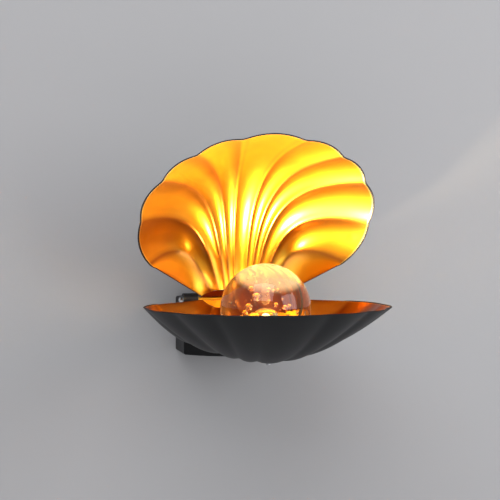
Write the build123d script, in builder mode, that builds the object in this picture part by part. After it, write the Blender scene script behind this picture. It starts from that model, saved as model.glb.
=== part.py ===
"""Shell wall sconce: two fluted scallop shells on a wall box, hinged like a clam round a lit glass ball.

The origin is on the wall, at the centre of the wall plate's back. +X is right, -Y is out of the wall
and +Z is up.
A shell has its own frame: x across, y forward from its cut rear end, z out of the bowl's back.
"""
from build123d import *
from math import cos, radians, sin, sqrt
import os

os.makedirs("parts", exist_ok=True)

# ---- driving dimensions, in millimetres and degrees ----
canopy_width = 135
canopy_side_height = 66
canopy_bow = 4                  # how far the top and the bottom edge bow out
canopy_depth = 54
canopy_corner = 2.5
canopy_wall = 1.5
canopy_edge_radius = 1.2

hinge_clearance = 9             # from the canopy's front to the hinge axis
hinge_height = 32.5             # from the origin up to the hinge axis
opening_angle = 49.5            # between the two rim planes

notch_half_width = 133          # the rim's notches lie on an ellipse
notch_half_length = 124
notch_centre = 111              # from the shell's rear end to the ellipse's centre
notch_turns = (15, 38, 60, 88, 119)
edge_end = (108, 45)            # where the straight side edge meets the last scallop
ridge_starts = (6.5, 12.5, 18, 27, 37)
rear_arch_height = 11
arch_fall = 0.5                 # how much the arch falls towards the side edges
bowl_handle = 86                # depth handle of the curve that each ridge follows
bowl_flattening = 16
ridge_near = 0.13               # handles of a ridge's sideways sweep, as shares of it
ridge_far = 0.2
ridge_lean = 0.74               # share of a notch's turn that a ridge leans over
shell_wall = 1.2
shell_side_clearance = 4        # from the barrels' inner ends to the shells' rear corners
flute_depth_ratio = 0.085       # rise of a flute over its chord
wing_depth_ratio = 0.055
upper_setback = 6               # from the hinge axis to the upper shell's rear end
lower_setback = 10
end_plate_thickness = 2

barrel_radius = 8
barrel_length = 17
barrel_foot_thickness = 3
barrel_foot_width = 12.5
barrel_foot_height = 31
barrel_foot_drop = 3.5          # from the hinge axis down to the foot's top
barrel_screw_margin = 7         # from the foot's ends to its screws
rod_radius = 2
sleeve_radius = 3.5
barrel_inset = 14               # from the canopy's sides to the barrels' inner ends
washer_thickness = 0.8
cap_nut_width = 7
cap_nut_height = 2.6
cap_nut_length = 4.4
rod_washer_overlap = 0.6        # past the cap nut
friction_washer_overlap = 1     # past the sleeve
rod_chamfer = 0.3

neck_width = 56
neck_height = 8
neck_flange_height = 24
neck_flange_thickness = 3
lead_radius = 2
lead_drop = 7.75                # from the hinge axis down to the lead in the neck
neck_screw_margin = 6.5
neck_clearance = 0.4            # between the sleeve and the neck's top
lead_tail = 14                  # of the lead inside the canopy
lead_nose = 6                   # from the neck's plate to the lead's first bend
lead_landing = 36               # from the shell's rear end to where the lead reaches the floor
grommet_collar = 2
grommet_lip = 2
grommet_lip_thickness = 1.5
shell_screw_x = 16
shell_screw_drop = 6
shell_screw_length = 10

ball_radius = 50
ball_reach = 115                # from the hinge axis to the ball's centre
ball_drop = 3                   # from the hinge axis down to the ball's centre
ball_flat = 46                  # from the ball's centre down to its flat
bore_radius = 13
bore_depth = 54

cup_base_drop = 57              # from the hinge axis down to the cup's underside
cup_base_radius = 19
cup_rim_radius = 28
cup_wall = 1.5
cup_base_thickness = 2
gasket_thickness = 2
holder_radius = 9.5
holder_height = 12
spacer_width = 12
spacer_length = 32
spacer_clearance = 0.9          # under the spacer, over the curved flute
holder_screw_pitch = 22
holder_head_height = 1.2
cup_rim_height = 3              # the upright part under the cup's rim

bulb_radius = 7.5
bulb_length = 32
bulb_base_height = 7
pin_pitch = 9
pin_radius = 0.9

plate_height = 46
plate_thickness = 2
plate_corner = 3
ear_depth = 20
ear_height = 16
wall_screw_pitch = 100
wall_screw_hole = 5
entry_hole = 20

running_gap = 0.1               # radial, where something turns or slides
seat_gap = 0.3                  # between pieces that lie on each other without touching
part_gap = 0.05                 # radial, round a fixed screw or pin

m3_radius = 1.5
m4_radius = 2
m3_head_radius = 2.6
m4_head_radius = 3.8
m3_head_height = 1.6
m4_head_height = 2.4
m4_nut_width = 7
m4_nut_height = 3.2
head_rounding = 0.45            # these four are shares of a screw head's height or radius
recess_length = 1.1
recess_width = 0.25
recess_depth = 0.5
spare_thread = 5                # of a screw past the sheet that it goes through

# ---- places that follow from them ----
axis_y = -canopy_depth - hinge_clearance
canopy_half = canopy_width / 2
canopy_edge = canopy_side_height / 2
front_y = -canopy_depth
ball_y = axis_y - ball_reach
ball_z = hinge_height - ball_drop
lead_z = hinge_height - lead_drop
neck_top = hinge_height - sleeve_radius - neck_clearance
barrel_start = canopy_half - barrel_inset
sleeve_length = 2 * (barrel_start - washer_thickness - 2 * running_gap)
shell_rear_half_width = barrel_start - shell_side_clearance

upper_plane = Plane(
    (0, axis_y, hinge_height),
    x_dir=(-1, 0, 0),
    z_dir=(0, sin(radians(opening_angle)), cos(radians(opening_angle))),
)
lower_plane = Plane((0, axis_y, hinge_height), x_dir=(1, 0, 0), z_dir=(0, 0, -1))


# ---- the shells' common pressing ----
def notch(turn):
    """A notch of the scalloped rim."""
    return Vector(
        notch_half_width * sin(radians(turn)),
        notch_centre + notch_half_length * cos(radians(turn)),
        0,
    )


def blend(t, start, near, far, end):
    """A cubic curve from start to end with two handles."""
    s = 1 - t
    return s**3 * start + 3 * s**2 * t * near + 3 * s * t**2 * far + t**3 * end


def ridge(number, t):
    """A point on a ridge of the outer skin: t is 0 at the rear end and 1 at the rim."""
    if number == len(notch_turns):
        return Vector(shell_rear_half_width + (edge_end[0] - shell_rear_half_width) * t, edge_end[1] * t, 0)
    turn = notch_turns[number]
    tip = notch(turn)
    start = ridge_starts[number]
    spread = tip.X - start
    steepness = cos(radians(ridge_lean * turn))
    rise = rear_arch_height * (1 - arch_fall * (start / shell_rear_half_width) ** 2)
    return Vector(
        blend(t, start, start + ridge_near * spread, start + ridge_far * spread, tip.X),
        tip.Y * t,
        blend(t, rise, bowl_handle * steepness, bowl_handle - bowl_flattening * steepness, 0),
    )


def skin_points(t):
    """The ridges' points across the shell, from its left edge to its right edge."""
    right = [ridge(number, t) for number in range(len(notch_turns) + 1)]
    left = [Vector(-point.X, point.Y, point.Z) for point in reversed(right)]
    return left + right


def move_out(point, normal, distance, t):
    """Move a point along the normal, but within the flat rim or the flat rear end."""
    if t == 0:
        normal = Vector(normal.X, 0, normal.Z)
    if t == 1 or abs(point.Z) < 1e-9:
        normal = Vector(normal.X, normal.Y, 0)
    return point + normal * (distance / normal.length**2)


def skin_normal(t, first, second):
    """The outward normal between two neighbouring ridges."""
    step = 0.01
    low = max(t - step, 0)
    high = min(t + step, 1)
    along_a = skin_points(high)[first] - skin_points(low)[first]
    along_b = skin_points(high)[second] - skin_points(low)[second]
    here = skin_points(t)
    across = here[second] - here[first]
    return across.cross(along_a + along_b).normalized()


def shell_section(t):
    """The shell's closed outline at t: eleven outer arcs, eleven inner arcs and the two edges."""
    outer = skin_points(t)
    last = len(outer) - 1
    normals = [skin_normal(t, number, number + 1) for number in range(last)]
    normals = [normals[0]] + normals + [normals[-1]]
    inner = [
        move_out(point, (normals[number] + normals[number + 1]).normalized(), -shell_wall, t)
        for number, point in enumerate(outer)
    ]
    with BuildLine(mode=Mode.PRIVATE) as section:
        for number in range(last):
            normal = normals[number + 1]
            chord = (outer[number + 1] - outer[number]).length
            ratio = wing_depth_ratio if number in (0, last - 1) else flute_depth_ratio
            crown = move_out((outer[number] + outer[number + 1]) * 0.5, normal, ratio * chord, t)
            ThreePointArc(outer[number], crown, outer[number + 1])
        Line(outer[last], inner[last])
        for number in range(last, 0, -1):
            normal = normals[number]
            chord = (outer[number] - outer[number - 1]).length
            ratio = wing_depth_ratio if number in (1, last) else flute_depth_ratio
            crown = move_out((outer[number] + outer[number - 1]) * 0.5, normal,
                             ratio * chord - shell_wall, t)
            ThreePointArc(inner[number], crown, inner[number - 1])
        Line(inner[0], outer[0])
    return section.wire()


stations = (0, 0.04, 0.12, 0.26, 0.42, 0.6, 0.78, 0.92, 1)
shell_form = Solid.make_loft([shell_section(t) for t in stations])


def floor_depth(forward):
    """The depth of the middle flute's outer skin below the rim plane, at a distance from the rear end."""
    t = forward / notch(notch_turns[0]).Y
    point = ridge(0, t)
    return point.Z + flute_depth_ratio * 2 * point.X


def save(part, name):
    part.label = name
    export_step(part, f"parts/{name}.step")


# ---- wall plate and what it carries ----
plate_width = canopy_width - 2 * (canopy_wall + seat_gap)
ear_x = plate_width / 2 - plate_thickness / 2
ear_screw_y = -ear_depth / 2 - plate_thickness
earth_place = (30, 12)

with BuildPart() as wall_plate:
    with BuildSketch(Plane.XZ):
        RectangleRounded(plate_width, plate_height, plate_corner)
        with GridLocations(wall_screw_pitch, 0, 2, 1):
            Circle(wall_screw_hole / 2, mode=Mode.SUBTRACT)
        Circle(entry_hole / 2, mode=Mode.SUBTRACT)
        with Locations(earth_place):
            Circle(m4_radius + part_gap, mode=Mode.SUBTRACT)
    extrude(amount=plate_thickness)
    with BuildSketch(Plane.XZ.offset(plate_thickness)):
        with GridLocations(2 * ear_x, 0, 2, 1):
            Rectangle(plate_thickness, ear_height)
    extrude(amount=ear_depth)
    with Locations(Plane.YZ):
        with Locations((ear_screw_y, 0)):
            Hole(m4_radius + part_gap, depth=canopy_width)
save(wall_plate.part, "wall_plate")


# ---- canopy: a drawn box, open to the wall ----
def canopy_outline(inset):
    """The canopy's front view: straight sides, bowed top and bottom, rounded corners."""
    half = canopy_half - inset
    edge = canopy_edge - inset
    with BuildSketch(Plane.XZ, mode=Mode.PRIVATE) as outline:
        with BuildLine():
            ThreePointArc((-half, edge), (0, edge + canopy_bow), (half, edge))
            Line((half, edge), (half, -edge))
            ThreePointArc((half, -edge), (0, -edge - canopy_bow), (-half, -edge))
            Line((-half, -edge), (-half, edge))
        make_face()
        fillet(outline.vertices(), canopy_corner - inset)
    return outline.sketch


barrel_foot_top = hinge_height - barrel_foot_drop
barrel_screw_z = (
    barrel_foot_top - barrel_screw_margin,
    barrel_foot_top - barrel_foot_height + barrel_screw_margin,
)
barrel_x = barrel_start + barrel_foot_width / 2
neck_screw_x = neck_width / 2 - neck_screw_margin
neck_screw_z = neck_top - neck_flange_height + neck_screw_margin
grommet_hole = lead_radius + grommet_collar

with BuildPart() as canopy:
    extrude(canopy_outline(0), amount=canopy_depth, dir=(0, -1, 0))
    fillet(canopy.faces().sort_by(Axis.Y)[0].edges(), canopy_edge_radius)
    extrude(canopy_outline(canopy_wall), amount=canopy_depth - canopy_wall, dir=(0, -1, 0),
            mode=Mode.SUBTRACT)
    with Locations(Plane.YZ):
        with Locations((ear_screw_y, 0)):
            Hole(m4_radius + part_gap, depth=canopy_width)
    with BuildSketch(Plane.XZ.offset(canopy_depth)):
        for x in (-barrel_x, barrel_x):
            with Locations(*((x, z) for z in barrel_screw_z)):
                Circle(m4_radius + part_gap)
        with Locations((-neck_screw_x, neck_screw_z), (neck_screw_x, neck_screw_z)):
            Circle(m4_radius + part_gap)
        with Locations((0, lead_z)):
            Circle(grommet_hole)
    extrude(amount=-canopy_wall, mode=Mode.SUBTRACT)
save(canopy.part, "canopy")


def screw(plane, radius, length, head_radius, head_height):
    """A pan head screw: the plane lies under its head and faces away from the shank."""
    with BuildPart(mode=Mode.PRIVATE) as one:
        with BuildSketch(plane):
            Circle(head_radius)
        extrude(amount=head_height)
        fillet(one.faces().sort_by(Axis(plane.origin, plane.z_dir))[-1].edges(), head_height * head_rounding)
        with BuildSketch(plane.offset(head_height)):
            Rectangle(head_radius * recess_length, head_radius * recess_width)
            Rectangle(head_radius * recess_width, head_radius * recess_length)
        extrude(amount=-head_height * recess_depth, mode=Mode.SUBTRACT)
        with BuildSketch(plane):
            Circle(radius)
        extrude(amount=-length)
    return one.part


def nut(plane, radius, width, height):
    """A hex nut that stands on the plane."""
    with BuildPart(mode=Mode.PRIVATE) as one:
        with BuildSketch(plane):
            RegularPolygon(width / 2, 6, major_radius=False)
            Circle(radius + part_gap, mode=Mode.SUBTRACT)
        extrude(amount=height)
    return one.part


with BuildPart() as canopy_screws:
    for side in (-1, 1):
        add(screw(Plane((side * canopy_half, ear_screw_y, 0), z_dir=(side, 0, 0)),
                  m4_radius, canopy_wall + seat_gap + plate_thickness + spare_thread,
                  m4_head_radius, m4_head_height))
save(canopy_screws.part, "canopy_screws")

# ---- hinge: two barrels on the canopy, a rod through them, cap nuts on its ends ----
for side, name in ((-1, "hinge_barrel_left"), (1, "hinge_barrel_right")):
    with BuildPart() as barrel:
        with BuildSketch(Plane.YZ.offset(side * barrel_start)):
            with Locations((axis_y, hinge_height)):
                Circle(barrel_radius)
        extrude(amount=side * barrel_length)
        with BuildSketch(Plane.XZ.offset(canopy_depth)):
            with Locations((side * barrel_x, barrel_foot_top - barrel_foot_height / 2)):
                Rectangle(barrel_foot_width, barrel_foot_height)
            with Locations((side * barrel_x, hinge_height - barrel_foot_drop / 2)):
                Rectangle(barrel_foot_width, barrel_foot_drop)
            with Locations(*((side * barrel_x, z) for z in barrel_screw_z)):
                Circle(m4_radius + part_gap, mode=Mode.SUBTRACT)
        extrude(amount=barrel_foot_thickness)
        with BuildSketch(Plane.YZ.offset(side * barrel_start)):
            with Locations((axis_y, hinge_height)):
                Circle(rod_radius + part_gap)
        extrude(amount=side * barrel_length, mode=Mode.SUBTRACT)
    save(barrel.part, name)

barrel_screw_places = [(side * barrel_x, z) for side in (-1, 1) for z in barrel_screw_z]
with BuildPart() as barrel_screws:
    for x, z in barrel_screw_places:
        add(screw(Plane((x, front_y - barrel_foot_thickness, z), z_dir=(0, -1, 0)),
                  m4_radius, barrel_foot_thickness + canopy_wall + spare_thread,
                  m4_head_radius, m4_head_height))
save(barrel_screws.part, "barrel_screws")

with BuildPart() as barrel_nuts:
    for x, z in barrel_screw_places:
        add(nut(Plane((x, front_y + canopy_wall, z), z_dir=(0, 1, 0)),
                m4_radius, m4_nut_width, m4_nut_height))
save(barrel_nuts.part, "barrel_nuts")

barrel_end = barrel_start + barrel_length
cap_start = barrel_end + washer_thickness
rod_length = 2 * (cap_start + cap_nut_height)

with BuildPart() as hinge_rod:
    with BuildSketch(Plane.YZ.offset(-rod_length / 2)):
        with Locations((axis_y, hinge_height)):
            Circle(rod_radius)
    extrude(amount=rod_length)
    chamfer(hinge_rod.edges().filter_by(GeomType.CIRCLE), rod_chamfer)
save(hinge_rod.part, "hinge_rod")

with BuildPart() as cap_nuts:
    for side in (-1, 1):
        outward = Plane((side * cap_start, axis_y, hinge_height), x_dir=(0, 1, 0), z_dir=(side, 0, 0))
        with BuildSketch(outward):
            RegularPolygon(cap_nut_width / 2, 6, major_radius=False)
        extrude(amount=cap_nut_height)
        dome = Plane(outward.origin, x_dir=(side, 0, 0), z_dir=(0, 1, 0))
        with BuildSketch(dome):
            with BuildLine():
                Polyline((cap_nut_height, 0), (cap_nut_height, cap_nut_width / 2))
                RadiusArc((cap_nut_height, cap_nut_width / 2), (cap_nut_length, 0), cap_nut_width / 2 * 1.05)
                Line((cap_nut_length, 0), (cap_nut_height, 0))
            make_face()
        revolve(axis=Axis(outward.origin, (side, 0, 0)))
        with BuildSketch(outward):
            Circle(rod_radius + part_gap)
        extrude(amount=cap_nut_height + 0.5, mode=Mode.SUBTRACT)
save(cap_nuts.part, "cap_nuts")

with BuildPart() as rod_washers:
    for side in (-1, 1):
        with BuildSketch(Plane.YZ.offset(side * barrel_end)):
            with Locations((axis_y, hinge_height)):
                Circle(cap_nut_width / 2 + rod_washer_overlap)
                Circle(rod_radius + part_gap, mode=Mode.SUBTRACT)
        extrude(amount=side * washer_thickness)
save(rod_washers.part, "rod_washers")

with BuildPart() as friction_washers:
    for side in (-1, 1):
        with BuildSketch(Plane.YZ.offset(side * (barrel_start - washer_thickness))):
            with Locations((axis_y, hinge_height)):
                Circle(sleeve_radius + friction_washer_overlap)
                Circle(rod_radius + running_gap, mode=Mode.SUBTRACT)
        extrude(amount=side * washer_thickness)
save(friction_washers.part, "friction_washers")

# ---- upper shell, which tilts with its sleeve ----
with BuildPart() as hinge_sleeve:
    with BuildSketch(Plane.YZ.offset(-sleeve_length / 2)):
        with Locations((axis_y, hinge_height)):
            Circle(sleeve_radius)
            Circle(rod_radius + running_gap, mode=Mode.SUBTRACT)
    extrude(amount=sleeve_length)
save(hinge_sleeve.part, "hinge_sleeve")


def end_plate(rear_plane, holes):
    """A plate over a shell's cut rear end. The plane's x is across and its y is the shell's depth."""
    points = [Vector(point.X, point.Z) for point in skin_points(0)]
    with BuildPart(mode=Mode.PRIVATE) as plate:
        with BuildSketch(rear_plane):
            with BuildLine():
                Polyline(*points)
                Line(points[-1], points[0])
            make_face()
            for place, radius in holes:
                with Locations(place):
                    Circle(radius, mode=Mode.SUBTRACT)
        extrude(amount=end_plate_thickness)
    return plate.part


upper_rear = Plane(
    upper_plane.from_local_coords((0, upper_setback, 0)),
    x_dir=upper_plane.x_dir,
    z_dir=upper_plane.y_dir * -1,
)
lower_rear = Plane(
    lower_plane.from_local_coords((0, lower_setback, 0)),
    x_dir=lower_plane.x_dir,
    z_dir=lower_plane.y_dir * -1,
)

with BuildPart() as upper_end_plate:
    add(end_plate(upper_rear, ()))
save(upper_end_plate.part, "upper_end_plate")

with BuildPart() as upper_shell:
    add(upper_plane.from_local_coords(shell_form.moved(Location((0, upper_setback, 0)))))
save(upper_shell.part, "upper_shell")

# ---- neck: it carries the lower shell and lets the lead through ----
neck_front_y = axis_y - lower_setback + end_plate_thickness

with BuildPart() as neck:
    with BuildSketch(Plane.XZ.offset(canopy_depth)):
        with Locations((0, neck_top - neck_height / 2)):
            Rectangle(neck_width, neck_height)
    extrude(amount=front_y - neck_front_y)
    with BuildSketch(Plane.XZ.offset(canopy_depth)):
        with Locations((0, neck_top - neck_flange_height / 2)):
            Rectangle(neck_width, neck_flange_height)
    extrude(amount=neck_flange_thickness)
    with BuildSketch(Plane.XZ.offset(canopy_depth)):
        with Locations((0, lead_z)):
            Circle(lead_radius + seat_gap)
    extrude(amount=front_y - neck_front_y, mode=Mode.SUBTRACT)
    with BuildSketch(Plane.XZ.offset(canopy_depth)):
        with Locations((-neck_screw_x, neck_screw_z), (neck_screw_x, neck_screw_z)):
            Circle(m4_radius + part_gap)
    extrude(amount=neck_flange_thickness, mode=Mode.SUBTRACT)
    with BuildSketch(Plane.XZ.offset(-neck_front_y)):
        with Locations((-shell_screw_x, hinge_height - shell_screw_drop),
                       (shell_screw_x, hinge_height - shell_screw_drop)):
            Circle(m3_radius + part_gap)
    extrude(amount=-shell_screw_length, mode=Mode.SUBTRACT)
save(neck.part, "neck")

with BuildPart() as neck_screws:
    for side in (-1, 1):
        head_seat = Plane((side * neck_screw_x, front_y - neck_flange_thickness, neck_screw_z),
                          z_dir=(0, -1, 0))
        add(screw(head_seat, m4_radius, neck_flange_thickness + canopy_wall + spare_thread,
                  m4_head_radius, m4_head_height))
save(neck_screws.part, "neck_screws")

with BuildPart() as neck_nuts:
    for side in (-1, 1):
        add(nut(Plane((side * neck_screw_x, front_y + canopy_wall, neck_screw_z), z_dir=(0, 1, 0)),
                m4_radius, m4_nut_width, m4_nut_height))
save(neck_nuts.part, "neck_nuts")

# ---- lower shell ----
with BuildPart() as lower_end_plate:
    add(end_plate(lower_rear, (((0, lead_drop), lead_radius + seat_gap),
                               ((-shell_screw_x, shell_screw_drop), m3_radius + part_gap),
                               ((shell_screw_x, shell_screw_drop), m3_radius + part_gap))))
save(lower_end_plate.part, "lower_end_plate")

with BuildPart() as shell_screws:
    for side in (-1, 1):
        add(screw(Plane((side * shell_screw_x, axis_y - lower_setback, hinge_height - shell_screw_drop),
                        z_dir=(0, -1, 0)),
                  m3_radius, shell_screw_length, m3_head_radius, m3_head_height))
save(shell_screws.part, "shell_screws")

floor_drop = floor_depth(ball_reach - lower_setback)
holder_screw_places = [(0, ball_y - holder_screw_pitch / 2), (0, ball_y + holder_screw_pitch / 2)]

with BuildPart() as lower_shell:
    add(lower_plane.from_local_coords(shell_form.moved(Location((0, lower_setback, 0)))))
    with BuildSketch(Plane.XY.offset(hinge_height - floor_drop)):
        with Locations(*holder_screw_places):
            Circle(m3_radius + part_gap)
    extrude(amount=3 * shell_wall, both=True, mode=Mode.SUBTRACT)
save(lower_shell.part, "lower_shell")

# ---- lead: from the canopy through the neck and down the shell's floor to the lampholder ----
cup_base_z = hinge_height - cup_base_drop
cup_floor_z = cup_base_z + cup_base_thickness
lead_floor_z = cup_floor_z + lead_radius + seat_gap
lead_inner_y = front_y + lead_tail


def over_floor(forward, lift):
    """A point over the lower shell's floor: forward from its rear end and up from its inner skin."""
    height = hinge_height - floor_depth(forward) + shell_wall + lift
    return (0, axis_y - lower_setback - forward, height)


lead_points = [
    (0, lead_inner_y, lead_z),
    (0, axis_y - lower_setback - lead_nose, lead_z),
    over_floor(lead_landing, 2.75 * lead_radius),
    (0, ball_y + cup_rim_radius + 1.5 * lead_radius, lead_floor_z),
    (0, ball_y + holder_radius + running_gap, lead_floor_z),
]


def wire(points, radius, bend):
    """A round wire along straight runs joined by arcs."""
    start = Vector(*points[0])
    with BuildPart(mode=Mode.PRIVATE) as one:
        with BuildLine() as path:
            FilletPolyline(*points, radius=bend)
        with BuildSketch(Plane(start, z_dir=Vector(*points[1]) - start)):
            Circle(radius)
        sweep(path=path.line)
    return one.part


with BuildPart() as lamp_lead:
    add(wire(lead_points, lead_radius, 6 * lead_radius))
save(lamp_lead.part, "lamp_lead")

with BuildPart() as lead_grommet:
    with BuildSketch(Plane.XZ.offset(canopy_depth)):
        with Locations((0, lead_z)):
            Circle(grommet_hole - part_gap)
            Circle(lead_radius + part_gap, mode=Mode.SUBTRACT)
    extrude(amount=-canopy_wall)
    with BuildSketch(Plane.XZ.offset(canopy_depth - canopy_wall)):
        with Locations((0, lead_z)):
            Circle(grommet_hole + grommet_lip)
            Circle(lead_radius + part_gap, mode=Mode.SUBTRACT)
    extrude(amount=-grommet_lip_thickness)
save(lead_grommet.part, "lead_grommet")

# ---- holder cup: a spun cup that the ball rests on, screwed down through the shell ----
cup_rim_z = ball_z - sqrt(ball_radius**2 - cup_rim_radius**2) - gasket_thickness
spacer_ends = [ball_reach - lower_setback + side * spacer_length / 2 for side in (-1, 1)]
spacer_floor = min(floor_depth(forward) for forward in spacer_ends)
spacer_height = spacer_floor - shell_wall - cup_base_drop - spacer_clearance
cup_flare_z = cup_rim_z - cup_rim_height
upright = Plane((0, ball_y, 0), x_dir=(1, 0, 0), z_dir=(0, -1, 0))
ball_axis = Axis((0, ball_y, 0), (0, 0, 1))

with BuildPart() as seat_spacer:
    with BuildSketch(Plane.XY.offset(cup_base_z - spacer_height)):
        with Locations((0, ball_y)):
            SlotOverall(spacer_length, spacer_width, rotation=90)
        with Locations(*holder_screw_places):
            Circle(m3_radius + part_gap, mode=Mode.SUBTRACT)
    extrude(amount=spacer_height)
save(seat_spacer.part, "seat_spacer")

with BuildPart() as holder_cup:
    with BuildSketch(upright):
        with BuildLine():
            Polyline((0, cup_base_z), (cup_base_radius, cup_base_z), (cup_rim_radius, cup_flare_z),
                     (cup_rim_radius, cup_rim_z), (cup_rim_radius - cup_wall, cup_rim_z),
                     (cup_rim_radius - cup_wall, cup_flare_z + 0.5),
                     (cup_base_radius - 1, cup_floor_z), (0, cup_floor_z), close=True)
        make_face()
    revolve(axis=ball_axis)
    with BuildSketch(Plane.XY.offset(cup_base_z)):
        with Locations(*holder_screw_places):
            Circle(m3_radius + part_gap)
    extrude(amount=cup_base_thickness, mode=Mode.SUBTRACT)
    with BuildSketch(Plane.XZ.offset(-ball_y - cup_rim_radius)):
        with Locations((0, lead_floor_z)):
            Circle(lead_radius + seat_gap)
    extrude(amount=cup_rim_radius - holder_radius, mode=Mode.SUBTRACT)
save(holder_cup.part, "holder_cup")

with BuildPart() as holder_screws:
    for x, y in holder_screw_places:
        add(screw(Plane((x, y, hinge_height - floor_drop - part_gap), z_dir=(0, 0, -1)),
                  m3_radius, floor_drop - cup_base_drop + cup_base_thickness,
                  m3_head_radius, holder_head_height))
save(holder_screws.part, "holder_screws")


def ball_depth(radius):
    """How far the ball's skin lies below its centre, at a distance from its axis."""
    return sqrt(ball_radius**2 - radius**2)


with BuildPart() as cup_gasket:
    with BuildSketch(upright):
        with BuildLine():
            inner = cup_rim_radius - cup_wall
            Polyline((inner, cup_rim_z), (cup_rim_radius, cup_rim_z),
                     (cup_rim_radius, ball_z - ball_depth(cup_rim_radius) - running_gap),
                     (inner, ball_z - ball_depth(inner) - running_gap), close=True)
        make_face()
    revolve(axis=ball_axis)
save(cup_gasket.part, "cup_gasket")

# ---- glass ball with a blind bore for the bulb ----
with BuildPart() as glass_ball:
    with BuildSketch(Plane((0, ball_y, ball_z), x_dir=(1, 0, 0), z_dir=(0, -1, 0))):
        with BuildLine():
            flat_radius = ball_depth(ball_flat)
            bore_end = bore_depth - ball_flat
            ThreePointArc((flat_radius, -ball_flat), (ball_radius, 0), (0, ball_radius))
            Line((0, ball_radius), (0, bore_end))
            RadiusArc((0, bore_end), (bore_radius, bore_end - bore_radius), bore_radius)
            Polyline((bore_radius, bore_end - bore_radius), (bore_radius, -ball_flat),
                     (flat_radius, -ball_flat))
        make_face()
    revolve(axis=ball_axis)
save(glass_ball.part, "glass_ball")

# ---- lampholder and bulb ----
holder_top_z = cup_floor_z + holder_height
contact_radius = pin_radius + part_gap
contact_wall = 0.7
pin_length = 8
pin_places = [(-pin_pitch / 2, ball_y), (pin_pitch / 2, ball_y)]

with BuildPart() as lampholder:
    with BuildSketch(Plane.XY.offset(cup_floor_z)):
        with Locations((0, ball_y)):
            Circle(holder_radius)
    extrude(amount=holder_height)
    chamfer(lampholder.faces().sort_by(Axis.Z)[-1].edges(), 0.8)
    with BuildSketch(Plane.XY.offset(holder_top_z)):
        with Locations(*pin_places):
            Circle(contact_radius + contact_wall + part_gap)
    extrude(amount=-pin_length - 0.5, mode=Mode.SUBTRACT)
save(lampholder.part, "lampholder")

with BuildPart() as holder_contacts:
    with BuildSketch(Plane.XY.offset(holder_top_z)):
        with Locations(*pin_places):
            Circle(contact_radius + contact_wall)
        with Locations(*pin_places):
            Circle(contact_radius, mode=Mode.SUBTRACT)
    extrude(amount=-pin_length - 0.4)
save(holder_contacts.part, "holder_contacts")

with BuildPart() as bulb_pins:
    with BuildSketch(Plane.XY.offset(holder_top_z)):
        with Locations(*pin_places):
            Circle(pin_radius)
    extrude(amount=-pin_length)
    fillet(bulb_pins.faces().group_by(Axis.Z)[0].edges(), 0.4)
save(bulb_pins.part, "bulb_pins")

with BuildPart() as bulb_base:
    with BuildSketch(Plane.XY.offset(holder_top_z)):
        with Locations((0, ball_y)):
            RectangleRounded(2 * bulb_radius, 1.3 * bulb_radius, 2)
    extrude(amount=bulb_base_height)
save(bulb_base.part, "bulb_base")

bulb_start_z = holder_top_z + bulb_base_height
bulb_glass = 1
envelope_radius = 0.65 * bulb_radius


def capsule(radius, top):
    """The upright profile of a domed capsule that stands on the bulb's base."""
    with BuildSketch(upright, mode=Mode.PRIVATE) as profile:
        with BuildLine():
            Polyline((0, bulb_start_z), (radius, bulb_start_z), (radius, top - radius))
            RadiusArc((radius, top - radius), (0, top), -radius)
            Line((0, top), (0, bulb_start_z))
        make_face()
    return profile.sketch


with BuildPart() as bulb_envelope:
    revolve(capsule(envelope_radius, bulb_start_z + bulb_length), axis=ball_axis)
    revolve(capsule(envelope_radius - bulb_glass, bulb_start_z + bulb_length - bulb_glass),
            axis=ball_axis, mode=Mode.SUBTRACT)
save(bulb_envelope.part, "bulb_envelope")

with BuildPart() as bulb_core:
    with BuildSketch(Plane.XY.offset(bulb_start_z)):
        with Locations((0, ball_y)):
            Circle(0.4 * envelope_radius)
    extrude(amount=0.75 * bulb_length)
    fillet(bulb_core.faces().sort_by(Axis.Z)[-1].edges(), 0.5)
save(bulb_core.part, "bulb_core")

# ---- terminal block, wires and earth, on the wall plate inside the canopy ----
block_size = (30, 12, 10)       # width, depth and height
block_corner = 1
block_head_radius = 2.2
block_head_height = 1.4
pole_offset = 2.4               # of a pole's two screws from the block's middle
pole_depth = 8
pole_screw_length = 6
pole_screw_sink = 1             # of a screw below the block's front
pole_slot = (0.5, 0.6)          # width and depth
block_top_z = -entry_hole / 2 - 1.5
pole_pitch = 9
wire_radius = 0.9
block_front_y = -plate_thickness - block_size[1]
block_z = block_top_z - block_size[2] / 2
pole_places = [(pole * pole_pitch, block_z + side * pole_offset) for pole in (-1, 0, 1) for side in (-1, 1)]
block_screw_places = [(-pole_pitch / 2, block_z), (pole_pitch / 2, block_z)]

with BuildPart() as terminal_block:
    with BuildSketch(Plane.XZ.offset(plate_thickness)):
        with Locations((0, block_z)):
            RectangleRounded(block_size[0], block_size[2], block_corner)
    extrude(amount=block_size[1])
    with BuildSketch(Plane.XZ.offset(-block_front_y)):
        with Locations(*pole_places):
            Circle(m3_radius + part_gap)
    extrude(amount=-pole_depth, mode=Mode.SUBTRACT)
    with BuildSketch(Plane.XZ.offset(-block_front_y)):
        with Locations(*block_screw_places):
            Circle(m3_radius * 0.8 + part_gap)
    extrude(amount=-block_size[1], mode=Mode.SUBTRACT)
save(terminal_block.part, "terminal_block")

with BuildPart() as terminal_screws:
    with BuildSketch(Plane.XZ.offset(-block_front_y - pole_screw_sink)):
        with Locations(*pole_places):
            Circle(m3_radius)
    extrude(amount=-pole_screw_length)
    with BuildSketch(Plane.XZ.offset(-block_front_y - pole_screw_sink)):
        with Locations(*pole_places):
            Rectangle(2 * m3_radius, pole_slot[0])
    extrude(amount=-pole_slot[1], mode=Mode.SUBTRACT)
save(terminal_screws.part, "terminal_screws")

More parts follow.
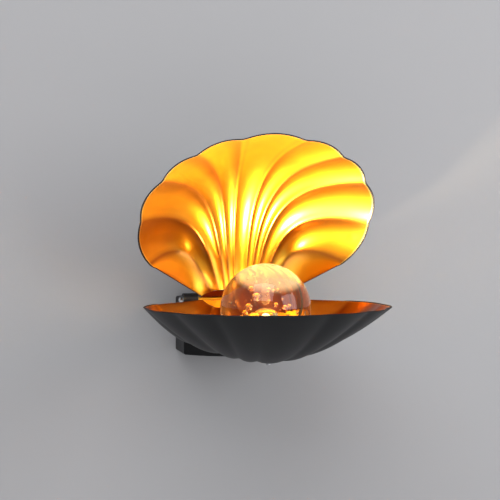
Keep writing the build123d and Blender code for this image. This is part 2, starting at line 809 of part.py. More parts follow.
with BuildPart() as block_screws:
    for x, z in block_screw_places:
        add(screw(Plane((x, block_front_y, z), z_dir=(0, -1, 0)),
                  m3_radius * 0.8, block_size[1], block_head_radius, block_head_height))
save(block_screws.part, "block_screws")

with BuildPart() as earth_screw:
    add(screw(Plane((earth_place[0], -plate_thickness, earth_place[1]), z_dir=(0, -1, 0)),
              m4_radius, plate_thickness, m4_head_radius, m4_head_height))
save(earth_screw.part, "earth_screw")

pole_y = -plate_thickness - block_size[1] / 2
for side, name in ((-1, "live_wire"), (1, "neutral_wire")):
    with BuildPart() as conductor:
        add(wire([
            (side * (wire_radius + part_gap), lead_inner_y, lead_z),
            (side * (wire_radius + part_gap), lead_inner_y + 12, lead_z),
            (side * pole_pitch, pole_y - 8, 8),
            (side * pole_pitch, pole_y, -2),
            (side * pole_pitch, pole_y, block_top_z),
        ], wire_radius, 4))
    save(conductor.part, name)

with BuildPart() as earth_wire:
    add(wire([
        (0, pole_y, block_top_z),
        (0, pole_y, block_top_z + 8),
        (14, pole_y + 2, 7),
        (earth_place[0] - 8, -plate_thickness - 1.3, earth_place[1]),
        (earth_place[0] - m4_head_radius - 0.2, -plate_thickness - 1.3, earth_place[1]),
    ], wire_radius, 3))
save(earth_wire.part, "earth_wire")
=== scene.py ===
import random
from math import cos, pi, radians, sin

import bpy
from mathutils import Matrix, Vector


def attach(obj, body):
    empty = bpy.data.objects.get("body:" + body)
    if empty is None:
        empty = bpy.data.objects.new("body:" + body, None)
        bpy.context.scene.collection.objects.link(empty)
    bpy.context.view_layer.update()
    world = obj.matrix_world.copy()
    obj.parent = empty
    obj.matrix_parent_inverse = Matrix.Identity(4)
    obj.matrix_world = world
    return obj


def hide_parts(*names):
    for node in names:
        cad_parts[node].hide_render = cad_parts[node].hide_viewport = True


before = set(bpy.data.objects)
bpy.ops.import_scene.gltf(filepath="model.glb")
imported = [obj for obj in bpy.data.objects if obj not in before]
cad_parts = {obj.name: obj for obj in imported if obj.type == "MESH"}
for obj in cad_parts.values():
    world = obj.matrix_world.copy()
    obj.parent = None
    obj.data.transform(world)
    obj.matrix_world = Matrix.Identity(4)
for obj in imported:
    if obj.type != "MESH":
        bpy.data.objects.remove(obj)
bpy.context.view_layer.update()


# ---- The view: a 500 x 500 photograph taken from the room, a little to the left of the lamp and
# just above its hinge, with a short telephoto lens. ----
view_turn = 14.0            # degrees that the camera stands round to the lamp's left
view_drop = 1.72            # degrees that it looks down
view_place = (-0.3337, -1.4449, 0.1336)
film_width = 36             # millimetres, as the focal length
focal_length = 86.13
bpy.ops.object.camera_add(
    location=view_place,
    rotation=(radians(90 - view_drop), 0, radians(-view_turn)),
)
camera = bpy.context.object
camera.data.sensor_width = film_width
camera.data.lens = focal_length
bpy.context.scene.camera = camera
bpy.context.scene.view_settings.view_transform = "Standard"


# ---- The room: a painted plaster wall that the lamp hangs on, seen only from its front, and a
# pale floor well below the lamp. Both are backdrop and not part of it. ----
def paint(code):
    """A colour written as sRGB hex, in the linear values that a shader works in."""
    values = [int(code[place:place + 2], 16) / 255 for place in (1, 3, 5)]
    return [v / 12.92 if v <= 0.04045 else ((v + 0.055) / 1.055) ** 2.4 for v in values] + [1]


def add(material, kind, inputs=None, **settings):
    """Add a node with its settings; each input is a value or another node's output."""
    made = material.node_tree.nodes.new(kind)
    for name, value in settings.items():
        setattr(made, name, value)
    for name, value in (inputs or {}).items():
        if isinstance(value, bpy.types.NodeSocket):
            material.node_tree.links.new(value, made.inputs[name])
        else:
            made.inputs[name].default_value = value
    return made


def start(name):
    """A new material without nodes but its output."""
    material = bpy.data.materials.new(name)
    material.use_nodes = True
    material.node_tree.nodes.clear()
    return material


def finish(material, shader):
    """Join a shader to the material's output."""
    add(material, "ShaderNodeOutputMaterial", {"Surface": shader})
    return material


def keep(name, material, *more):
    """Name the object that was just modelled and give it its materials."""
    made = bpy.context.object
    made.name = made.data.name = name
    made.data.materials.clear()
    for each in (material,) + more:
        made.data.materials.append(each)
    return made


def clear_selection():
    """Deselect everything, because an operator acts on all that is selected."""
    for each in bpy.context.selected_objects:
        each.select_set(False)


# Emulsion rolled on plaster: an even matt grey with the roller's low waves, 17 mm from one to the
# next. Its back is see-through, so that the lamp can be looked at from behind.
wall_paint = start("matt wall paint")
place = add(wall_paint, "ShaderNodeTexCoord").outputs["Object"]
roller = add(wall_paint, "ShaderNodeTexNoise", {
    "Vector": place, "Scale": 60, "Detail": 3}).outputs["Fac"]
skin = add(wall_paint, "ShaderNodeBump", {"Height": roller, "Distance": 0.0002}).outputs["Normal"]
painted = add(wall_paint, "ShaderNodeBsdfPrincipled", {
    "Base Color": paint("#B2B2B4"), "Roughness": 0.9, "Specular IOR Level": 0.2,
    "Normal": skin}).outputs["BSDF"]
unseen = add(wall_paint, "ShaderNodeBsdfTransparent").outputs["BSDF"]
behind = add(wall_paint, "ShaderNodeNewGeometry").outputs["Backfacing"]
finish(wall_paint, add(wall_paint, "ShaderNodeMixShader", {
    0: behind, 1: painted, 2: unseen}).outputs["Shader"])

# Plain screed with a coat of floor paint: matt, with faint clouds a hand's breadth across.
floor_paint = start("pale floor")
place = add(floor_paint, "ShaderNodeTexCoord").outputs["Object"]
grain = add(floor_paint, "ShaderNodeTexNoise", {
    "Vector": place, "Scale": 8, "Detail": 4}).outputs["Fac"]
tone = add(floor_paint, "ShaderNodeValToRGB", {"Fac": grain})
tone.color_ramp.elements[0].color = paint("#C2C2C2")
tone.color_ramp.elements[1].color = paint("#CACACA")
finish(floor_paint, add(floor_paint, "ShaderNodeBsdfPrincipled", {
    "Base Color": tone.outputs["Color"], "Roughness": 0.8}).outputs["BSDF"])

wall_gap = 0.0004           # metres between the wall and the lamp's back, so that they never touch
wall_middle = 2             # its height over the lamp
floor_depth = 0.45          # below the lamp
room_size = 6
clear_selection()
bpy.ops.mesh.primitive_plane_add(
    size=room_size, location=(0, wall_gap, wall_middle), rotation=(pi / 2, 0, 0))
wall = keep("wall", wall_paint)
bpy.ops.mesh.primitive_plane_add(size=room_size, location=(0, 0, -floor_depth))
floor = keep("floor", floor_paint)


# ---- The studio's light: a large soft box over the camera's left shoulder, a weaker one on the
# right, and an even pale surround. ----
world = bpy.data.worlds.new("studio surround")
bpy.context.scene.world = world
world.use_nodes = True
surround = world.node_tree.nodes["Background"].inputs
surround["Color"].default_value = paint("#DCDCE0")
surround["Strength"].default_value = 0.5
lamp_middle = Vector((0, -0.1, 0.05))


def soft_box(name, place, size, power):
    """A square white studio light that faces the lamp: size in metres, power in watts."""
    bpy.ops.object.light_add(type="AREA", location=place)
    made = bpy.context.object
    made.name = name
    made.rotation_euler = (lamp_middle - Vector(place)).to_track_quat("-Z", "Y").to_euler()
    made.data.size = size
    made.data.energy = power


soft_box("key light", (-0.7, -1.9, 2.1), 2.4, 49)
soft_box("fill light", (1.7, -1.6, 0.6), 1.6, 24)


# ---- Wall plate: a bracket pressed from sheet steel and bright zinc plated, screwed to the wall.
# The lamp's screws, nuts, washers, hinge rod and seat spacer have that finish too. ----
def dress(material, *nodes):
    """Give CAD pieces their material."""
    for name in nodes:
        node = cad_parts[name]
        node.data.materials.clear()
        node.data.materials.append(material)


# Zinc plate on cold-rolled steel: a light grey with faint darker spangles of 2 mm and a soft shine.
zinc = start("bright zinc plated steel")
place = add(zinc, "ShaderNodeTexCoord").outputs["Object"]
spangle = add(zinc, "ShaderNodeTexVoronoi", {"Vector": place, "Scale": 500}).outputs["Distance"]
shade = add(zinc, "ShaderNodeValToRGB", {"Fac": spangle})
shade.color_ramp.elements[0].color = paint("#B9BBBE")
shade.color_ramp.elements[1].color = paint("#CFD1D4")
rough = add(zinc, "ShaderNodeMapRange", {
    "Value": spangle, "To Min": 0.28, "To Max": 0.42}).outputs["Result"]
finish(zinc, add(zinc, "ShaderNodeBsdfPrincipled", {
    "Base Color": shade.outputs["Color"], "Metallic": 1.0, "Roughness": rough}).outputs["BSDF"])
dress(zinc, "wall_plate", "barrel_nuts", "barrel_screws", "block_screws", "earth_screw",
      "holder_screws", "neck_nuts", "neck_screws", "rod_washers", "shell_screws", "terminal_screws",
      "hinge_rod", "friction_washers", "seat_spacer")


# ---- Terminal block and wires: a moulded nylon block screwed to the wall plate, and wires in
# extruded PVC, all hidden in the box. The lamp's lead, grommet and gasket are silicone rubber. ----
def moulded(name, colour, darker, roughness, grain_size):
    """A moulded or pressed material: an even colour with a faint cloud, and a fine skin."""
    material = start(name)
    place = add(material, "ShaderNodeTexCoord").outputs["Object"]
    cloud = add(material, "ShaderNodeTexNoise", {
        "Vector": place, "Scale": 1 / grain_size, "Detail": 3}).outputs["Fac"]
    shade = add(material, "ShaderNodeValToRGB", {"Fac": cloud})
    shade.color_ramp.elements[0].color = paint(darker)
    shade.color_ramp.elements[1].color = paint(colour)
    skin = add(material, "ShaderNodeBump", {
        "Height": cloud, "Distance": 0.00003}).outputs["Normal"]
    return finish(material, add(material, "ShaderNodeBsdfPrincipled", {
        "Base Color": shade.outputs["Color"], "Roughness": roughness,
        "Normal": skin}).outputs["BSDF"])


plastic_cloud = 0.002       # metres
dress(moulded("white polyamide", "#E4E3DE", "#DAD9D3", 0.45, plastic_cloud), "terminal_block")
dress(moulded("brown PVC", "#6B3A1E", "#5F3218", 0.4, plastic_cloud), "live_wire")
dress(moulded("blue PVC", "#2C5AA0", "#264F90", 0.4, plastic_cloud), "neutral_wire")
dress(moulded("green and yellow PVC", "#8DA32B", "#7F9624", 0.4, plastic_cloud), "earth_wire")
dress(moulded("black silicone rubber", "#1E1E1E", "#181818", 0.6, plastic_cloud),
      "cup_gasket", "lead_grommet", "lamp_lead")


# ---- Wall box, hinge barrels and neck: drawn and turned steel, powder coated black and screwed to
# the wall plate, to the box's front and to the lower shell. ----
# The baked coat is matt, with an orange peel of 1.4 mm and clouds of 40 mm in its tone and shine.
black_coat = start("matt black powder coat")
place = add(black_coat, "ShaderNodeTexCoord").outputs["Object"]
peel = add(black_coat, "ShaderNodeTexNoise", {
    "Vector": place, "Scale": 700, "Detail": 2}).outputs["Fac"]
cloud = add(black_coat, "ShaderNodeTexNoise", {
    "Vector": place, "Scale": 25, "Detail": 4}).outputs["Fac"]
shade = add(black_coat, "ShaderNodeValToRGB", {"Fac": cloud})
shade.color_ramp.elements[0].position = 0.3
shade.color_ramp.elements[0].color = paint("#0F1013")
shade.color_ramp.elements[1].position = 0.7
shade.color_ramp.elements[1].color = paint("#141518")
rough = add(black_coat, "ShaderNodeMapRange", {
    "Value": cloud, "To Min": 0.4, "To Max": 0.48}).outputs["Result"]
skin = add(black_coat, "ShaderNodeBump", {
    "Height": peel, "Distance": 0.00006, "Strength": 0.5}).outputs["Normal"]
finish(black_coat, add(black_coat, "ShaderNodeBsdfPrincipled", {
    "Base Color": shade.outputs["Color"], "Roughness": rough, "Specular IOR Level": 0.24,
    "Normal": skin}).outputs["BSDF"])
dress(black_coat, "canopy", "canopy_screws", "hinge_barrel_left", "hinge_barrel_right", "neck")


# ---- Cap nuts: turned from brass, domed and chrome plated, one screwed on each end of the hinge
# rod outside the barrels. ----
# Polished plate is a nearly clear mirror, with a faint haze left by the polishing.
chrome = start("polished chrome plate")
place = add(chrome, "ShaderNodeTexCoord").outputs["Object"]
haze = add(chrome, "ShaderNodeTexNoise", {
    "Vector": place, "Scale": 900, "Detail": 3}).outputs["Fac"]
rough = add(chrome, "ShaderNodeMapRange", {
    "Value": haze, "To Min": 0.06, "To Max": 0.16}).outputs["Result"]
finish(chrome, add(chrome, "ShaderNodeBsdfPrincipled", {
    "Base Color": paint("#D9DADC"), "Metallic": 1.0, "Roughness": rough}).outputs["BSDF"])
dress(chrome, "cap_nuts")


# ---- Shells: one scallop pressing used twice, in 1.2 mm steel, with eleven flutes that fan out
# from the hinge end. Powder coated black outside, and gold lacquered by hand inside. ----
sheet = 0.0012              # thickness of the steel, in metres
rear_half = 49.5            # millimetres, in the pressing's own frame: half the rear end's width
rear_rise = 11              # millimetres, of the rear end's arch in its middle
rear_droop = 0.5            # share of that arch which is lost at its corners
rim_half = (133, 124)       # millimetres: half the rim's width and length, between its notches
rim_middle = 111            # millimetres from the rear end
rim_corner = (108, 45)      # millimetres: where the straight side meets the rim
notch_turns = (15, 38, 60, 88, 119)             # degrees from straight ahead, round the rim
ridge_starts = (6.5, 12.5, 18, 27, 37)          # millimetres along the rear end
ridge_handles = (0.13, 0.2)                     # shares of a ridge's spread to the side
ridge_lean = 0.74           # share of a ridge's turn that lowers it
bowl_handle = 86            # millimetres: how deep the ridges' curves aim
bowl_flattening = 16
flute_bulge = 0.085         # of a flute over its chord
wing_bulge = 0.055
crest_depth = 0.035         # how much deeper a crest lies half way along, over the same chord
crest_fullness = 0.7        # power of the sine that brings that depth to nothing at both ends
rim_blend = 0.08            # of the length over which the flutes turn into the flat scalloped rim
slope_reach = 0.01          # of the length, to each side, over which a flute's slope is taken
flute_steps = 14            # mesh columns to a flute
columns = flute_steps * (2 * len(notch_turns) + 1)
length_steps = 96
outer_flank_steps = 6       # of a flute's steps over which the painted shade beside a crest fades out
inner_flank_steps = 1.5
crest_shade_strength = 0.85
edge_share = 0.0045         # of the length: the black coat laps over the rim, then a lighter row is painted on as a painted highlight
dent_share = 0.965          # of the length at which the press left a mark near each side
dents = ((22, 1), (columns - 22, 9))            # column and flute of each mark
dent_depth = 0.6            # millimetres
fold_angle = 50             # degrees: sharper edges stay sharp


def bend(t, begin, near, far, end):
    """A cubic curve from begin to end with two handles."""
    s = 1 - t
    return s**3 * begin + 3 * s**2 * t * near + 3 * s * t**2 * far + t**3 * end


def ridge(number, t):
    """A point on a ridge between two flutes: t is 0 at the rear end and 1 at the rim."""
    if number == len(notch_turns):
        return Vector((rear_half + (rim_corner[0] - rear_half) * t, rim_corner[1] * t, 0))
    turn = radians(notch_turns[number])
    begin = ridge_starts[number]
    tip = (rim_half[0] * sin(turn), rim_middle + rim_half[1] * cos(turn))
    spread = tip[0] - begin
    near, far = (begin + share * spread for share in ridge_handles)
    steepness = cos(ridge_lean * turn)
    rise = rear_rise * (1 - rear_droop * (begin / rear_half) ** 2)
    return Vector((
        bend(t, begin, near, far, tip[0]),
        tip[1] * t,
        bend(t, rise, bowl_handle * steepness, bowl_handle - bowl_flattening * steepness, 0),
    ))


def ridges(t):
    """The points at t on every ridge and on both straight sides, from one side to the other."""
    right = [ridge(number, t) for number in range(len(notch_turns) + 1)]
    return [Vector((-p.x, p.y, p.z)) for p in reversed(right)] + right


def outward(t, number):
    """The skin's outward direction in the middle of a flute."""
    low, high = ridges(max(t - slope_reach, 0)), ridges(min(t + slope_reach, 1))
    here = ridges(t)
    along = high[number] - low[number] + high[number + 1] - low[number + 1]
    return (here[number + 1] - here[number]).cross(along).normalized()


def skin_row(t):
    """The outer skin's points across the shell at t: eleven arcs, eased where they meet."""
    here = ridges(t)
    last = len(here) - 2
    flare = max(0, 1 - t / (rim_blend / 2), 1 - (1 - t) / rim_blend)
    normals = [outward(t, number) for number in range(last + 1)]
    crests = list(here)
    for number in range(1, last + 1):
        chord = (here[number + 1] - here[number - 1]).length / 2
        inward = (normals[number - 1] + normals[number]).normalized()
        fade = sin(pi * t) ** crest_fullness
        crests[number] = here[number] - inward * (crest_depth * chord * fade)
    row = []
    for number, normal in enumerate(normals):
        first, final = here[number], here[number + 1]
        flat = Vector((normal.x, 0, normal.z)) if t < 0.5 else Vector((normal.x, normal.y, 0))
        lift = normal.lerp(flat / flat.length_squared, flare)
        bulge = wing_bulge if number in (0, last) else flute_bulge
        rise = lift * (bulge * (final - first).length)
        crown = (first + final) / 2 + rise
        first, final = crests[number], crests[number + 1]
        side, rise = (final - first) / 2, crown - (first + final) / 2
        half = side.length
        radius = (half**2 + rise.length**2) / (2 * rise.length)
        for step in range(flute_steps + (number == last)):
            across = -1 + 2 * step / flute_steps
            height = (radius**2 - (half * across) ** 2) ** 0.5 - (radius - rise.length)
            row.append((first + final) / 2 + side * across + rise.normalized() * height)
    eased = list(row)
    for number in range(1, last + 1):
        crest = number * flute_steps
        eased[crest] = (row[crest - 1] + 2 * row[crest] + row[crest + 1]) / 4
    return eased


def crest_painted_shade(column):
    """How much painted shade a column gets: most beside a crest, away from the middle."""
    from_middle = abs(column - columns / 2)
    past_crest = (from_middle + flute_steps / 2) % flute_steps
    beyond_first = from_middle > flute_steps / 2
    outer_flank = max(0, 1 - past_crest / outer_flank_steps) if beyond_first else 0
    inner_flank = max(0, 1 - (flute_steps - past_crest) / inner_flank_steps)
    return crest_shade_strength * max(outer_flank, inner_flank)


def press_shell(name, lining, origin, across, forward, deep, setback):
    """Press one shell from a flat sheet, then give the sheet its thickness inwards.

    origin is on the hinge's axis, setback the millimetres from there to the rear end, and across,
    forward and deep are the directions of the pressing's own frame.
    """
    clear_selection()
    bpy.ops.mesh.primitive_grid_add(x_subdivisions=columns, y_subdivisions=length_steps, size=2)
    shell = keep(name, black_coat, lining, black_coat)
    last = length_steps - 2
    places = [step / last * (1 - 2 * edge_share) for step in range(last + 1)] + [1 - edge_share, 1]
    rows = [skin_row(t) for t in places]
    dented = rows[round(dent_share * last)]
    for column, flute in dents:
        dented[column] -= outward(dent_share, flute) * dent_depth
    crest_shade = [0.0] * len(shell.data.vertices)
    rim_highlight = [0.0] * len(shell.data.vertices)
    for vertex in shell.data.vertices:
        column = round((vertex.co.x + 1) / 2 * columns)
        row = round((vertex.co.y + 1) / 2 * length_steps)
        point = rows[row][column]
        pressed = across * point.x + forward * (point.y + setback) + deep * point.z
        vertex.co = origin + pressed / 1000     # from millimetres to metres
        # Painted shade beside the crests, carried to the lacquer in the "crest" attribute.
        crest_shade[vertex.index] = crest_painted_shade(column)
        # Painted highlight: the row beside the rim gets a lighter colour.
        rim_highlight[vertex.index] = float(row == last + 1)
    shell.data.attributes.new("crest", "FLOAT", "POINT").data.foreach_set("value", crest_shade)
    shell.data.attributes.new("rim_highlight", "FLOAT", "POINT").data.foreach_set("value", rim_highlight)
    faces = len(shell.data.polygons)
    rim_row = range(faces - columns, faces)
    wall = shell.modifiers.new("sheet", "SOLIDIFY")
    wall.thickness = sheet
    wall.offset = -1
    wall.use_even_offset = True
    wall.material_offset = 1
    wall.material_offset_rim = 2
    bpy.ops.object.modifier_apply(modifier="sheet")
    for number in rim_row:      # the black coat laps over the rim on to the inside
        shell.data.polygons[faces + number].material_index = 2
    bpy.ops.object.shade_smooth_by_angle(angle=radians(fold_angle))
    return shell


# Gold lacquer brushed on by hand: a metal look with a clear top coat, clouded in tone every 22 mm
# and with a skin of 1.1 mm. Beside the crests, mostly on their outer flanks, a darker colour is
# painted in as painted shade, and beside the rim a lighter one as a painted highlight.
def lacquer(name, darker, colour, crest_shade_colour, rim_highlight_colour, varnish):
    """A lacquer by its two tones, the colours of its painted shade and painted highlight, and how
    much clear varnish covers it.
    """
    material = start(name)
    place = add(material, "ShaderNodeTexCoord").outputs["Object"]
    cloud = add(material, "ShaderNodeTexNoise", {
        "Vector": place, "Scale": 45, "Detail": 5}).outputs["Fac"]
    fine = add(material, "ShaderNodeTexNoise", {
        "Vector": place, "Scale": 900, "Detail": 2}).outputs["Fac"]
    shade = add(material, "ShaderNodeValToRGB", {"Fac": cloud})
    shade.color_ramp.elements[0].position = 0.3
    shade.color_ramp.elements[0].color = paint(darker)
    shade.color_ramp.elements[1].position = 0.7
    shade.color_ramp.elements[1].color = paint(colour)
    crest_shade = add(material, "ShaderNodeAttribute", attribute_name="crest").outputs["Fac"]
    painted_highlight = add(material, "ShaderNodeAttribute", attribute_name="rim_highlight").outputs["Fac"]
    # Painted shade: a darker colour mixed in beside the crests.
    tone = add(material, "ShaderNodeMixRGB", {
        "Fac": crest_shade, "Color1": shade.outputs["Color"], "Color2": paint(crest_shade_colour)}).outputs["Color"]
    # Painted highlight: a lighter colour mixed in along the row beside the rim.
    tone = add(material, "ShaderNodeMixRGB", {
        "Fac": painted_highlight, "Color1": tone, "Color2": paint(rim_highlight_colour)}).outputs["Color"]
    rough = add(material, "ShaderNodeMapRange", {
        "Value": cloud, "To Min": 0.28, "To Max": 0.31}).outputs["Result"]
    skin = add(material, "ShaderNodeBump", {
        "Height": fine, "Distance": 0.00008, "Strength": 0.5}).outputs["Normal"]
    return finish(material, add(material, "ShaderNodeBsdfPrincipled", {
        "Base Color": tone, "Metallic": 1.0, "Roughness": rough, "Normal": skin,
        "Coat Weight": varnish, "Coat Roughness": 0.25}).outputs["BSDF"])


bright_gold = lacquer("hand-laid gold lacquer", "#DA9A10", "#E0A214", "#8E4A08", "#F6DC78", 0.6)
# The lower shell's inside has the same gold lacquer as the upper one, painted darker as painted
# shade, because little of the bulb's light reaches it.
lower_gold_in_painted_shade = lacquer("gold lacquer darkened as painted shade",
                     "#8E500C", "#9A5C10", "#6A3408", "#B8741C", 0.15)
# Painted shade: the upper end plate is given a dark reddish brown for the shadow in its recess.
end_plate_painted_shade = lacquer("gold lacquer painted dark brown as shade", "#6E2A0C", "#7A3412", "#6E2A0C", "#6E2A0C", 0.15)

hinge = Vector((0, -0.063, 0.0325))
lower_setback = 10          # millimetres
lower = press_shell("lower_scallop", lower_gold_in_painted_shade, hinge, Vector((1, 0, 0)), Vector((0, -1, 0)),
                    Vector((0, 0, -1)), lower_setback)
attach(lower, "base")
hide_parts("lower_shell")

opening = radians(49.5)     # between the two rims
upper_setback = 6           # millimetres
upper = press_shell("upper_scallop", bright_gold, hinge, Vector((-1, 0, 0)),
                    Vector((0, -cos(opening), sin(opening))),
                    Vector((0, sin(opening), cos(opening))), upper_setback)
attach(upper, "upper")
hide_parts("upper_shell")


# ---- End plates, sleeve and holder cup: sheet and tube steel, brazed to the shells or screwed into the lower one, and lacquered like them. The upper end plate is painted dark reddish brown as painted shade, for the shadowed recess it closes.
dress(bright_gold, "hinge_sleeve", "holder_cup", "lower_end_plate")
dress(end_plate_painted_shade, "upper_end_plate")


# ---- Lampholder and bulb: a steatite body with brass contacts, and a two-pin capsule bulb whose
# frosted envelope glows evenly round a warm white core. ----
dress(moulded("steatite ceramic", "#E6E1D6", "#DCD6C9", 0.55, 0.0015), "lampholder", "bulb_base")

# Drawn brass without a coat: a dull yellow metal with a slight haze.
brass = start("plain brass")
place = add(brass, "ShaderNodeTexCoord").outputs["Object"]
haze = add(brass, "ShaderNodeTexNoise", {
    "Vector": place, "Scale": 600, "Detail": 3}).outputs["Fac"]
rough = add(brass, "ShaderNodeMapRange", {
    "Value": haze, "To Min": 0.25, "To Max": 0.4}).outputs["Result"]
finish(brass, add(brass, "ShaderNodeBsdfPrincipled", {
    "Base Color": paint("#CFAE62"), "Metallic": 1.0, "Roughness": rough}).outputs["BSDF"])
dress(brass, "holder_contacts", "bulb_pins")


def glowing(name, colour, light, strength):
    """A lit surface with a faint unevenness in its own colour."""
    material = start(name)
    place = add(material, "ShaderNodeTexCoord").outputs["Object"]
    cloud = add(material, "ShaderNodeTexNoise", {"Vector": place, "Scale": 300}).outputs["Fac"]
    rough = add(material, "ShaderNodeMapRange", {
        "Value": cloud, "To Min": 0.3, "To Max": 0.5}).outputs["Result"]
    return finish(material, add(material, "ShaderNodeBsdfPrincipled", {
        "Base Color": paint(colour), "Roughness": rough,
        "Emission Color": paint(light), "Emission Strength": strength}).outputs["BSDF"])


dress(glowing("lit LED filament core", "#FFE3B0", "#FFD9A0", 6), "bulb_core")
dress(glowing("frosted bulb glass, lit", "#FFF3DC", "#FFE2B0", 3), "bulb_envelope")
# The bulb itself is seen, and the lights of the last section stand for what it gives off.
for name in ("bulb_core", "bulb_envelope"):
    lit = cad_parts[name]
    lit.visible_shadow = lit.visible_diffuse = lit.visible_glossy = False


# ---- Glass ball: solid clear glass, gathered and dipped so that air stays trapped in it as
# bubbles, ground flat below and bored for the bulb. It lies loose on the holder cup's gasket. ----
ball_place = Vector((0, -0.178, 0.0295))
ball_radius = 0.05
ball_flat = 0.046           # from the centre down to the ground foot
mouth_radius = 0.013        # of the bore, where the lampholder stands in it
mouth_depth = 0.008
bore_radius = 0.0092
bore_depth = 0.0465
crown_height = 0.006        # of the bore's rounded end, which these steps draw in and raise
crown_steps = ((0.94, 0.0025), (0.84, 0.0018), (0.62, 0.0012), (0.3, 0.0005))


def melt(material):
    """Clear glass with the low waves, 25 mm long, of a hand-gathered skin."""
    place = add(material, "ShaderNodeTexCoord").outputs["Object"]
    wave = add(material, "ShaderNodeTexNoise", {
        "Vector": place, "Scale": 40, "Detail": 1}).outputs["Fac"]
    skin = add(material, "ShaderNodeBump", {
        "Height": wave, "Distance": 0.0003, "Strength": 0.15}).outputs["Normal"]
    return add(material, "ShaderNodeBsdfPrincipled", {
        "Base Color": paint("#FFDB98"), "Roughness": 0.0, "IOR": 1.5,
        "Transmission Weight": 1.0, "Normal": skin}).outputs["BSDF"]


def cloud_glass(material, share):
    """Clear glass of which a small share scatters light."""
    seed = add(material, "ShaderNodeBsdfTranslucent", {
        "Color": paint("#FFF4D4")}).outputs["BSDF"]
    finish(material, add(material, "ShaderNodeMixShader", {
        0: share, 1: melt(material), 2: seed}).outputs["Shader"])


# Soda-lime glass is clear, but fine seed near its upper skin scatters a little of the bulb's
# light, and the skin round a bubble holds nearly none.
seeded_glass = start("seeded soda-lime glass")
place = add(seeded_glass, "ShaderNodeTexCoord").outputs["Object"]
upwards = add(seeded_glass, "ShaderNodeVectorMath", {
    0: place, 1: (0, -0.35, 1)}, operation="DOT_PRODUCT").outputs["Value"]
haze = add(seeded_glass, "ShaderNodeMapRange", {
    "Value": upwards, "From Min": 0.127, "From Max": 0.133, "To Min": 0.0003, "To Max": 0.009,
}).outputs["Result"]
cloud_glass(seeded_glass, haze)
bubble_skin = start("glass round a bubble")
cloud_glass(bubble_skin, 0.0005)

clear_selection()
bpy.ops.mesh.primitive_uv_sphere_add(segments=128, ring_count=96, radius=ball_radius)
bpy.ops.object.mode_set(mode="EDIT")
bpy.ops.mesh.select_all(action="SELECT")
bpy.ops.mesh.bisect(
    plane_co=(0, 0, -ball_flat), plane_no=(0, 0, 1), use_fill=True, clear_inner=True)
foot_radius = (ball_radius**2 - ball_flat**2) ** 0.5
bpy.ops.mesh.inset(thickness=foot_radius - mouth_radius)
bpy.ops.mesh.extrude_region_move(TRANSFORM_OT_translate={"value": (0, 0, mouth_depth)})
bpy.ops.mesh.inset(thickness=mouth_radius - bore_radius)
bpy.ops.mesh.extrude_region_move(TRANSFORM_OT_translate={
    "value": (0, 0, bore_depth - mouth_depth - crown_height)})
for width, rise in crown_steps:
    bpy.ops.mesh.extrude_region_move(TRANSFORM_OT_translate={"value": (0, 0, rise)})
    bpy.ops.transform.resize(value=(width, width, 1), center_override=(0, 0, 0))
bpy.ops.object.mode_set(mode="OBJECT")
ball = keep("bubble_ball", seeded_glass)
bpy.ops.object.shade_smooth_by_angle(angle=radians(40))

# The larger bubbles, as places from the ball's centre and radii in millimetres. Small ones fill up.
large_bubbles = (
    (-16.4, -12.4, 18.9, 2.8), (-11.3, -11.6, 11.3, 3.8), (-18.9, -13.8, 3.3, 3.2),
    (-22.9, -14.9, -1.9, 2.7), (-24.4, -10.4, -6.0, 2.0), (-1.2, -14.1, 17.6, 2.0),
    (3.5, -11.2, 15.7, 1.4), (6.0, -18.0, 17.9, 1.5), (-2.0, -11.9, 12.4, 1.1),
    (-2.1, -18.0, 8.0, 1.5), (3.5, -21.5, 5.2, 2.1), (12.2, -15.4, 2.2, 2.1),
    (11.0, -11.0, 8.6, 1.0), (15.3, -26.5, 4.4, 1.9), (9.3, -7.5, 21.2, 1.2),
    (-13.7, -2.8, 30.7, 1.0), (-11.1, -5.5, 27.8, 1.5), (-4.2, -3.1, 30.5, 1.2),
    (-10.9, -7.6, 24.0, 1.7), (-15.0, 0.6, 24.9, 1.0), (-0.5, -1.9, 25.5, 0.8),
    (-16.8, -20.6, -8.4, 7.4), (4.1, -23.7, -10.2, 4.1), (18.9, -10.9, 12.2, 0.8),
    (-23.3, 3.7, 5.3, 0.8), (23.0, -15.0, -2.2, 1.4),
)
bubble_count = 60
small_radii = (0.0003, 0.0007)
skin_cover = 0.006          # least glass between a small bubble's centre and the round skin
bore_cover = 0.004          # and between it and the foot or the bore
bubble_gap = 0.0008         # least glass between two bubbles
bubbles = [tuple(value / 1000 for value in each) for each in large_bubbles]
random.seed(7)
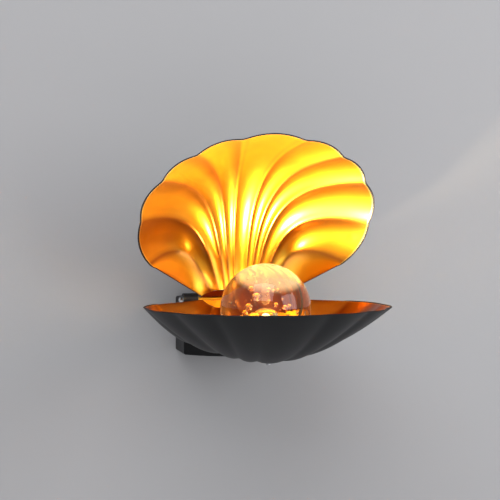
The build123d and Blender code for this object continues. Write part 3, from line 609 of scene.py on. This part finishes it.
while len(bubbles) < bubble_count:
    spot = Vector([random.uniform(-1, 1) for _ in range(3)]) * (ball_radius - skin_cover)
    size = random.uniform(*small_radii)
    in_ball = spot.length < ball_radius - skin_cover and spot.z > bore_cover - ball_flat
    beside_bore = spot.xy.length > mouth_radius + bore_cover
    above_bore = spot.z > bore_depth - ball_flat + bore_cover
    clear_of_others = all(
        (spot - Vector(b[:3])).length > size + b[3] + bubble_gap for b in bubbles)
    if in_ball and (beside_bore or above_bore) and clear_of_others:
        bubbles.append((*spot, size))
parts = [ball]
for x, y, z, size in bubbles:
    clear_selection()
    bpy.ops.mesh.primitive_ico_sphere_add(subdivisions=3, radius=size, location=(x, y, z))
    bpy.ops.object.transform_apply(location=True, rotation=False, scale=False)
    bpy.ops.object.mode_set(mode="EDIT")
    bpy.ops.mesh.select_all(action="SELECT")
    bpy.ops.mesh.flip_normals()
    bpy.ops.object.mode_set(mode="OBJECT")
    bpy.ops.object.shade_smooth()
    parts.append(keep("bubble", bubble_skin))
clear_selection()
for each in parts:
    each.select_set(True)
bpy.context.view_layer.objects.active = ball
bpy.ops.object.join()
ball.location = ball_place
bpy.ops.object.transform_apply(location=True, rotation=False, scale=False)
ball.visible_shadow = False
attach(ball, "ball")
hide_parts("glass_ball")


# ---- The bulb's own light: it leaves the ball mostly upwards, into the open upper shell, and a
# little of it backwards over the hinge. ----
warm_white = paint("#FFE6BE")[:3]
bulb_middle = (ball_place.x, ball_place.y, 0.008)


def bulb_light(name, place, turn, power, cone, size):
    """A warm light that is itself unseen: power in watts, cone in degrees, size in metres."""
    bpy.ops.object.light_add(type="SPOT", location=place)
    made = bpy.context.object
    made.name = name
    made.rotation_euler = turn
    made.data.color = warm_white
    made.data.energy = power
    made.data.spot_size = radians(cone)
    made.data.spot_blend = 1.0
    made.data.shadow_soft_size = size
    made.visible_camera = made.visible_transmission = False


backwards_down = Vector((-0.15, 0.13, -0.98))   # the light shines the other way
bulb_light("bulb light", bulb_middle, backwards_down.to_track_quat("Z", "Y").to_euler(),
           17, 138, 0.009)
bulb_light("bulb light out of the ball's back", (0.004, -0.124, 0.038),
           (radians(100), 0, radians(-12)), 0.35, 80, 0.006)
